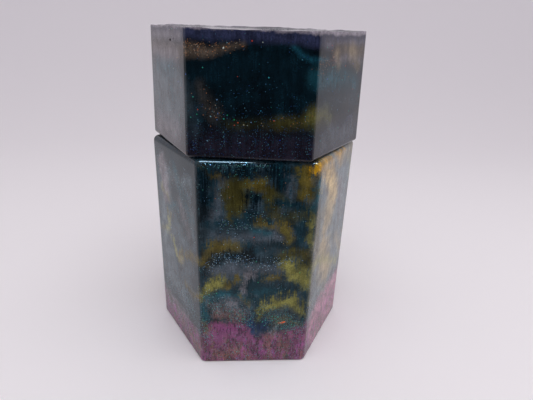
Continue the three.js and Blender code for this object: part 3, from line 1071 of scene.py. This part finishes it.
@dataclass
class Casting:
    """What both castings share. Lengths are in metres."""

    name: str
    node: str
    slot: str
    resin: CastResin
    corner: float
    taper: float
    upright_radius: float
    turn_deg: float = 0.0

    def rounded_prism(self, low: float, high: float, narrow_above: bool) -> Piece:
        """Builds the hexagonal block with its upright edges rounded.

        Args:
            low: The height of its lower face.
            high: The height of its upper face.
            narrow_above: Whether it narrows upwards; if not, it narrows downwards.

        Returns:
            The block.
        """
        block = cylinder(self.name, CORNERS, self.corner, low, high, self.turn_deg)
        narrow = (self.corner - self.taper) / self.corner
        with editing(block):
            pick_edges(block, at_height(high if narrow_above else low))
            bpy.ops.transform.resize(value=(narrow, narrow, 1), center_override=(0, 0, 0))
            pick_edges(block, upright)
            setback = self.upright_radius * math.tan(math.radians(FACE_DEG / 2))
            round_edges(setback, 8)
        return block

    def finish(self, piece: Piece) -> Piece:
        """Unrolls, smooths, dresses and places a built casting.

        Args:
            piece: The built casting.

        Returns:
            The same object, riding on the row's one body in place of its CAD node.
        """
        unroll(piece, self.corner * FLAT_RATIO, self.turn_deg)
        smooth(piece)
        piece.data.materials.clear()
        piece.data.materials.append(self.resin.make())
        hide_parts(self.node)
        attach(piece, BODY)
        log.info("%s: %d faces", piece.name, len(piece.data.polygons))
        return piece


@dataclass
class Jar(Casting):
    """The lower casting, with its round bore and the collar that keeps the lid in place."""

    name: str = "jar_casting"
    node: str = "jar"
    slot: str = "jar_resin"
    resin: CastResin = JAR_RESIN
    corner: float = 43 * MM
    taper: float = 0.65 * MM
    upright_radius: float = 2.6 * MM
    shoulder: float = 87.7 * MM
    shoulder_radius: float = 2.2 * MM
    base_radius: float = 0.9 * MM
    wall: float = 9.2 * MM
    floor: float = 8 * MM
    floor_radius: float = 2.5 * MM
    collar_wall: float = 3 * MM
    collar_radius: float = 1 * MM
    end_inset: float = 3 * MM

    def build(self) -> Piece:
        """Builds and dresses the jar.

        Returns:
            The finished piece.
        """
        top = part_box(self.node)[1].z
        bore = self.corner * FLAT_RATIO - self.wall
        jar = self.rounded_prism(0, self.shoulder, narrow_above=False)
        with editing(jar):
            pick_edges(jar, at_height(self.shoulder))
            round_edges(self.shoulder_radius, 8)
            pick_edges(jar, at_height(0))
            round_edges(self.base_radius, 4)
            pick_faces(jar, lambda middle, normal: abs(normal.z) > 0.99)
            bpy.ops.mesh.inset(thickness=self.end_inset)
        collar = cylinder("collar", ROUND_SIDES, bore + self.collar_wall, self.floor, top)
        with editing(collar):
            pick_edges(collar, at_height(top))
            round_edges(self.collar_radius, 5)
        combine(jar, collar, Join.ADD)
        hollow = cylinder("hollow", ROUND_SIDES, bore, self.floor, top + CLEAR)
        with editing(hollow):
            pick_edges(hollow, at_height(self.floor))
            round_edges(self.floor_radius, 6)
        combine(jar, hollow, Join.CUT)
        return self.finish(jar)


@dataclass(frozen=True)
class Pit:
    """A small open bubble in a side face of the lid.

    across and up are its place on the unrolled side, in millimetres; its sizes are half widths.
    """

    across: float
    up: float
    half_width: float
    half_height: float
    depth: float


LID_PITS = (
    Pit(-36.9, 125.2, 1.0, 0.45, 0.8),
    Pit(-33.2, 125.7, 0.4, 0.3, 0.5),
    Pit(-36.2, 123.0, 0.35, 0.3, 0.4),
)

# The waves of the creeping rim: each one's share, its count round the lid, and its start in radians
RIM_WAVES = ((0.5, 5, 0.6), (0.3, 13, 2.1), (0.2, 23, 4))


@dataclass
class Lid(Casting):
    """The upper casting, hollow below, with its sloping pour face and creeping rim above."""

    name: str = "lid_casting"
    node: str = "lid"
    slot: str = "lid_resin"
    resin: CastResin = LID_RESIN
    corner: float = 42.95 * MM
    taper: float = 0.95 * MM
    upright_radius: float = 1.6 * MM
    turn_deg: float = -5.2
    height: float = 41.9 * MM
    lower_radius: float = 1.3 * MM
    tilt_back_deg: float = 2.0
    tilt_side_deg: float = 0.4
    rim_height: float = 0.55 * MM
    rim_waver: float = 0.3 * MM
    rim_width: float = 4.2 * MM
    hollow_radius: float = 31.64 * MM
    top_thickness: float = 9.9 * MM
    roof_radius: float = 3 * MM
    mouth_radius: float = 1 * MM
    pour_allowance: float = 4 * MM
    skin_cells: int = 150
    pits: tuple[Pit, ...] = LID_PITS

    def pour_height(self, spot: Vector) -> float:
        """Gives the height of the pour face above the lid's lower rim.

        Args:
            spot: A place, of which across and along count.

        Returns:
            The height, with the slope, the creeping rim and small lumps.
        """
        slope = math.tan(math.radians(self.tilt_side_deg)) * spot.x
        slope += math.tan(math.radians(self.tilt_back_deg)) * spot.y
        bearing = math.degrees(math.atan2(spot.y, spot.x)) - self.turn_deg
        off_middle = (bearing + 360) % FACE_DEG - FACE_DEG / 2
        outwards = math.hypot(spot.x, spot.y) * math.cos(math.radians(off_middle))
        wall = (self.corner - self.taper) * FLAT_RATIO
        share = min(1.0, max(0.0, (wall - outwards) / self.rim_width))
        turn = math.radians(bearing)
        waver = sum(part * math.sin(count * turn + begin) for part, count, begin in RIM_WAVES)
        lumps = noise.noise(spot * (0.45 / MM)) * 0.16 * MM
        creep = (self.rim_height + self.rim_waver * waver + lumps) * (1 - share) ** 2
        ripple = noise.noise(spot * (0.07 / MM)) * 0.15 * MM * share
        return self.height + slope + creep + ripple

    def poured_air(self, seat: float, ceiling: float) -> Piece:
        """Builds the air above the pour face, with the pour face's relief on its underside.

        Args:
            seat: The height of the lid's lower rim.
            ceiling: The highest that the relief may reach.

        Returns:
            A closed solid to cut away from the lid's block.
        """
        bpy.ops.object.select_all(action="DESELECT")
        bpy.ops.mesh.primitive_grid_add(
            x_subdivisions=self.skin_cells,
            y_subdivisions=self.skin_cells,
            size=2.3 * self.corner,
            location=(0, 0, ceiling),
        )
        bpy.ops.object.transform_apply(location=True, rotation=True, scale=True)
        air = bpy.context.active_object
        with editing(air):
            bpy.ops.mesh.select_all(action="SELECT")
            bpy.ops.mesh.extrude_region_move(TRANSFORM_OT_translate={"value": (0, 0, 20 * MM)})
        for vertex in air.data.vertices:
            if vertex.co.z < ceiling + MM:
                vertex.co.z = min(ceiling, seat + self.pour_height(vertex.co))
        with editing(air):
            bpy.ops.mesh.select_all(action="SELECT")
            bpy.ops.mesh.normals_make_consistent(inside=False)
        return air

    def bubble(self, pit: Pit, seat: float) -> Piece:
        """Builds the ball of air that leaves a pit in a side face.

        Args:
            pit: The pit.
            seat: The height of the lid's lower rim.

        Returns:
            A squashed ball, centred on the face.
        """
        side = round(pit.across / (self.corner / MM))
        bearing = math.radians(FRONT_DEG + self.turn_deg + side * FACE_DEG)
        rise = (pit.up * MM - seat) / self.height
        outwards = (self.corner - self.taper * rise) * FLAT_RATIO
        along = pit.across * MM - side * self.corner
        normal = Vector((math.cos(bearing), math.sin(bearing), 0))
        level = Vector((-math.sin(bearing), math.cos(bearing), 0))
        centre = normal * outwards + level * along
        bpy.ops.object.select_all(action="DESELECT")
        bpy.ops.mesh.primitive_uv_sphere_add(
            segments=20,
            ring_count=12,
            radius=1,
            location=(centre.x, centre.y, pit.up * MM),
            rotation=(0, 0, bearing),
        )
        ball = bpy.context.active_object
        ball.scale = (pit.depth * MM, pit.half_width * MM, pit.half_height * MM)
        bpy.ops.object.transform_apply(location=True, rotation=True, scale=True)
        return ball

    def build(self) -> Piece:
        """Builds and dresses the lid.

        Returns:
            The finished piece.
        """
        low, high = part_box(self.node)
        seat, ceiling = low.z, high.z
        lid = self.rounded_prism(seat, seat + self.height, narrow_above=True)
        with editing(lid):
            pick_edges(lid, at_height(seat))
            round_edges(self.lower_radius, 6)
            pick_faces(lid, lambda middle, normal: normal.z > 0.99)
            bpy.ops.transform.translate(value=(0, 0, self.pour_allowance))
        combine(lid, self.poured_air(seat, ceiling), Join.CUT)
        roof = seat + self.height - self.top_thickness
        hollow = cylinder("hollow", ROUND_SIDES, self.hollow_radius, seat - CLEAR, roof)
        with editing(hollow):
            pick_edges(hollow, at_height(roof))
            round_edges(self.roof_radius, 6)
        combine(lid, hollow, Join.CUT)
        on_mouth = at_height(seat)
        inner = self.hollow_radius + 0.1 * MM
        with editing(lid):
            pick_edges(lid, lambda a, b: on_mouth(a, b) and a.xy.length < inner and b.xy.length < inner)
            round_edges(self.mouth_radius, 5)
        for pit in self.pits:
            combine(lid, self.bubble(pit, seat), Join.CUT)
        return self.finish(lid)


@dataclass(frozen=True)
class Card:
    """A card beside the jar that only reflections see.

    centre and size are in metres. tip_deg tips it up about X, and turn_deg then turns it about Z.
    Its light goes evenly from far, at its lowest place along Y, to near, at its highest.
    """

    name: str
    centre: tuple[float, float, float]
    size: tuple[float, float]
    tip_deg: float
    turn_deg: float
    near: tuple[float, float, float]
    far: tuple[float, float, float]

    def build(self) -> None:
        """Stands the card in its place."""
        bpy.ops.object.select_all(action="DESELECT")
        turn = (math.radians(self.tip_deg), 0, math.radians(self.turn_deg))
        bpy.ops.mesh.primitive_plane_add(size=1, location=self.centre, rotation=turn)
        card = bpy.context.active_object
        card.name = self.name
        card.scale = (*self.size, 1)
        bpy.ops.object.transform_apply(location=True, rotation=True, scale=True)
        rows = [vertex.co.y for vertex in card.data.vertices]
        material = bpy.data.materials.new(self.name)
        graph = emptied(material)
        metres = graph.add("TexCoord", out=3)
        along = graph.add("SeparateXYZ", metres, out=1)
        share = graph.add("MapRange", along, min(rows) - MM, max(rows) + MM, 0.0, 1.0)
        light = graph.add("Mix", share, (*self.far, 1), (*self.near, 1), data_type="RGBA")
        graph.add("OutputMaterial", graph.add("Emission", light, 1.0))
        card.data.materials.append(material)
        card.visible_camera = card.visible_diffuse = card.visible_shadow = False


STUDIO_CARDS = (
    Card("dark_wall", (0, -0.2, 0.18), (0.5, 0.36), 90, 0, (0.021, 0.023, 0.028), (0.021, 0.023, 0.028)),
    # The second card stands, in reflections only, for the white floor in front of the jar, which lies in
    # shade: painted shade, lighter near the jar and darker further out.
    Card("shaded_floor", (0, -0.127, 0.001), (0.5, 0.146), 0, 0, (0.42, 0.42, 0.43), (0.058, 0.058, 0.064)),
)


@dataclass(frozen=True)
class Lamp:
    """A soft lamp above the jar, which hangs level but for its tilt about X. Lengths are in metres."""

    name: str
    place: tuple[float, float, float]
    size: tuple[float, float]
    tilt_deg: float
    watts: float
    colour: tuple[float, float, float]
    in_gloss: bool

    def build(self) -> None:
        """Hangs the lamp, which shows either in gloss alone or on dull surfaces alone."""
        data = bpy.data.lights.new(self.name, "AREA")
        data.shape, data.energy, data.color = "RECTANGLE", self.watts, self.colour
        data.size, data.size_y = self.size
        lamp = bpy.data.objects.new(self.name, data)
        bpy.context.scene.collection.objects.link(lamp)
        lamp.location = self.place
        lamp.rotation_euler = (math.radians(self.tilt_deg), 0, 0)
        lamp.visible_glossy = self.in_gloss
        lamp.visible_diffuse = not self.in_gloss


STUDIO_LAMPS = (
    Lamp("shoulder_strip", (0, -0.1, 0.38), (0.3, 0.05), 12, 1.9, (0.5, 0.77, 1.0), in_gloss=True),
    Lamp("top_light", (0.05, -0.25, 0.6), (0.5, 0.5), 0, 1.2, (1.0, 0.98, 1.0), in_gloss=False),
)


@dataclass
class Studio:
    """A pale floor that sweeps up behind the jar, in a bright white surround."""

    floor_colour: str = "#f9f5f7"
    # The colour at the back and up the sweep, darker than near the jar: painted shade.
    far_shade_colour: str = "#eae5ea"
    surround: tuple[float, float, float] = (0.62, 0.61, 0.63)
    left_share: float = 0.88
    right_share: float = 1.28
    floor_size: float = 4.0
    back: float = 0.9
    sweep: float = 0.6

    def build(self) -> None:
        """Builds the floor, the cards, the surround and the lamps."""
        self._floor()
        for card in STUDIO_CARDS:
            card.build()
        world = bpy.data.worlds.new("surround")
        graph = emptied(world)
        across = graph.add("SeparateXYZ", graph.add("TexCoord"), out=0)
        share = graph.add("MapRange", across, -1.0, 1.0, self.left_share, self.right_share)
        graph.add("OutputWorld", graph.add("Background", (*self.surround, 1), share))
        bpy.context.scene.world = world
        for lamp in STUDIO_LAMPS:
            lamp.build()

    def _floor(self) -> None:
        """Lays the pale floor and sweeps it up behind the jar without a corner."""
        bpy.ops.object.select_all(action="DESELECT")
        middle = (0, self.back - self.floor_size / 2, 0)
        bpy.ops.mesh.primitive_plane_add(size=self.floor_size, location=middle)
        floor = bpy.context.active_object
        floor.name = "floor"
        bpy.ops.object.transform_apply(location=True, rotation=True, scale=True)

        def at_back(a: Vector, b: Vector) -> bool:
            """Tells whether an edge lies along the foot of the back wall."""
            return min(a.y, b.y) > self.back - 0.01 and max(a.z, b.z) < 0.01

        with editing(floor):
            pick_edges(floor, at_back)
            bpy.ops.mesh.extrude_region_move(TRANSFORM_OT_translate={"value": (0, 0, self.floor_size / 2)})
            pick_edges(floor, at_back)
            round_edges(self.sweep, 24)
        bpy.ops.object.shade_smooth()
        material = bpy.data.materials.new("pale_floor")
        graph = emptied(material)
        along = graph.add("SeparateXYZ", graph.add("TexCoord", out=3), out=1)
        # The floor darkens from the jar towards the back and up the sweep: painted shade.
        share = graph.add("MapRange", along, 0.0, 0.8, 0.0, 1.0, interpolation_type="SMOOTHSTEP")
        colour = graph.add("Mix", share, linear(self.floor_colour), linear(self.far_shade_colour), data_type="RGBA")
        matt = {"Base Color": colour, "Roughness": 0.9, "Specular IOR Level": 0.1}
        graph.add("OutputMaterial", graph.add("BsdfPrincipled", named=matt))
        floor.data.materials.append(material)


@dataclass
class PhotoCamera:
    """The camera, as solved from the corners of the jar in the photograph."""

    place: tuple[float, float, float] = (-7.28 * MM, -170.46 * MM, 126.81 * MM)
    yaw: float = -0.077
    pitch: float = 0.379
    roll: float = 0.039
    focal_px: float = 405.7
    frame_px: float = 533
    sensor_mm: float = 36

    def build(self) -> None:
        """Makes the camera the scene's own."""
        level = Vector((math.cos(self.yaw), math.sin(self.yaw), 0))
        ahead = Vector((-math.sin(self.yaw), math.cos(self.yaw), 0))
        forward = math.cos(self.pitch) * ahead - math.sin(self.pitch) * Vector((0, 0, 1))
        above = level.cross(forward)
        right = math.cos(self.roll) * level + math.sin(self.roll) * above
        up = math.cos(self.roll) * above - math.sin(self.roll) * level
        data = bpy.data.cameras.new("photo_camera")
        data.sensor_width = self.sensor_mm
        data.lens = self.sensor_mm * self.focal_px / self.frame_px
        data.clip_start = 0.01
        camera = bpy.data.objects.new("photo_camera", data)
        bpy.context.scene.collection.objects.link(camera)
        turned = Matrix((right, up, -forward)).transposed().to_4x4()
        camera.matrix_world = Matrix.Translation(self.place) @ turned
        bpy.context.scene.camera = camera


def main() -> None:
    """Builds the jar, its lid, the studio and the camera."""
    logging.basicConfig(level=logging.INFO)
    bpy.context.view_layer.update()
    PhotoCamera().build()
    Studio().build()
    Jar().build()
    Lid().build()
    bpy.context.scene.view_settings.view_transform = "Standard"


if __name__ == "__main__":
    main()
